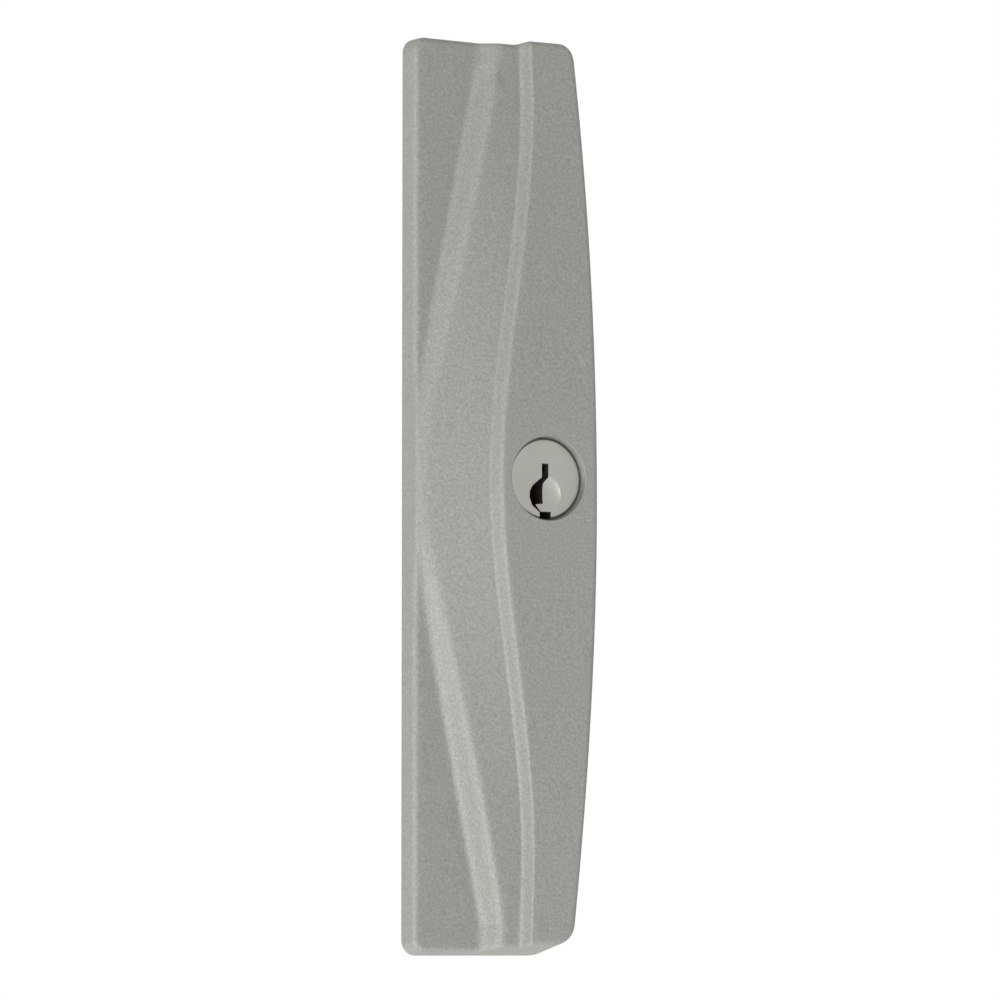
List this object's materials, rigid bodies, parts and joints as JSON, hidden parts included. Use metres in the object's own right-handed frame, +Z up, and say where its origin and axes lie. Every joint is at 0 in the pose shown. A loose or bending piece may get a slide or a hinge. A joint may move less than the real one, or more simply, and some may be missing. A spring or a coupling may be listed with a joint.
{
  "type": "sliding patio door lock",
  "caption": "Outside half of a sliding patio door lock: long die-cast pull with a swept finger scoop and a keyed pin cylinder behind it.",
  "frame": {"origin": "on the back plane of the pull, at mid length, midway between the two fixing posts", "axes": "+Z up along the pull, +Y into the door, the front faces -Y, +X to the right seen from outside"},
  "size_m": [0.0306, 0.0419, 0.145],
  "materials": {
    "powder_coat": "fine pearl-grey powder coat",
    "plug_nickel": "satin nickel plate on brass",
    "shell_brass": "machined brass",
    "cover_brass": "rolled brass strip",
    "pin_brass": "turned brass",
    "spring_steel": "spring steel",
    "plated_steel": "bright zinc-plated steel"
  },
  "bodies": {
    "pull": {"pull_body": "powder_coat", "cylinder_shell": "shell_brass", "chamber_cover": "cover_brass", "shell_screw_upper": "plated_steel", "shell_screw_lower": "plated_steel", "driver_spring_1": "spring_steel", "driver_spring_2": "spring_steel", "driver_spring_3": "spring_steel", "driver_spring_4": "spring_steel", "driver_spring_5": "spring_steel"},
    "plug": {"cylinder_plug": "plug_nickel", "plug_clip": "spring_steel", "tailpiece": "plated_steel", "tail_pin": "plated_steel"},
    "key_pin_1": {"key_pin_1": "pin_brass"},
    "driver_pin_1": {"driver_pin_1": "pin_brass"},
    "key_pin_2": {"key_pin_2": "pin_brass"},
    "driver_pin_2": {"driver_pin_2": "pin_brass"},
    "key_pin_3": {"key_pin_3": "pin_brass"},
    "driver_pin_3": {"driver_pin_3": "pin_brass"},
    "key_pin_4": {"key_pin_4": "pin_brass"},
    "driver_pin_4": {"driver_pin_4": "pin_brass"},
    "key_pin_5": {"key_pin_5": "pin_brass"},
    "driver_pin_5": {"driver_pin_5": "pin_brass"}
  },
  "joints": [
    {"name": "plug_turn", "type": "hinge", "parent": "pull", "child": "plug", "pos_m": [0, 0, 0.0025], "axis": [0, 1, 0], "continuous": true},
    {"name": "key_pin_1_slide", "type": "slide", "parent": "plug", "child": "key_pin_1", "axis": [0, 0, 1], "range_m": [-0.0025, 0]},
    {"name": "key_pin_2_slide", "type": "slide", "parent": "plug", "child": "key_pin_2", "axis": [0, 0, 1], "range_m": [-0.0013, 0]},
    {"name": "key_pin_3_slide", "type": "slide", "parent": "plug", "child": "key_pin_3", "axis": [0, 0, 1], "range_m": [-0.0019, 0]},
    {"name": "key_pin_4_slide", "type": "slide", "parent": "plug", "child": "key_pin_4", "axis": [0, 0, 1], "range_m": [-0.0007, 0]},
    {"name": "key_pin_5_slide", "type": "slide", "parent": "plug", "child": "key_pin_5", "axis": [0, 0, 1], "range_m": [-0.0016, 0]},
    {"name": "driver_pin_1_lift", "type": "slide", "parent": "pull", "child": "driver_pin_1", "axis": [0, 0, 1], "range_m": [0, 0.0015], "stiffness_N_per_m": 150, "springref_m": -0.003, "deforming": ["driver_spring_1"]},
    {"name": "driver_pin_2_lift", "type": "slide", "parent": "pull", "child": "driver_pin_2", "axis": [0, 0, 1], "range_m": [0, 0.0015], "stiffness_N_per_m": 150, "springref_m": -0.003, "deforming": ["driver_spring_2"]},
    {"name": "driver_pin_3_lift", "type": "slide", "parent": "pull", "child": "driver_pin_3", "axis": [0, 0, 1], "range_m": [0, 0.0015], "stiffness_N_per_m": 150, "springref_m": -0.003, "deforming": ["driver_spring_3"]},
    {"name": "driver_pin_4_lift", "type": "slide", "parent": "pull", "child": "driver_pin_4", "axis": [0, 0, 1], "range_m": [0, 0.0015], "stiffness_N_per_m": 150, "springref_m": -0.003, "deforming": ["driver_spring_4"]},
    {"name": "driver_pin_5_lift", "type": "slide", "parent": "pull", "child": "driver_pin_5", "axis": [0, 0, 1], "range_m": [0, 0.0015], "stiffness_N_per_m": 150, "springref_m": -0.003, "deforming": ["driver_spring_5"]}
  ]
}
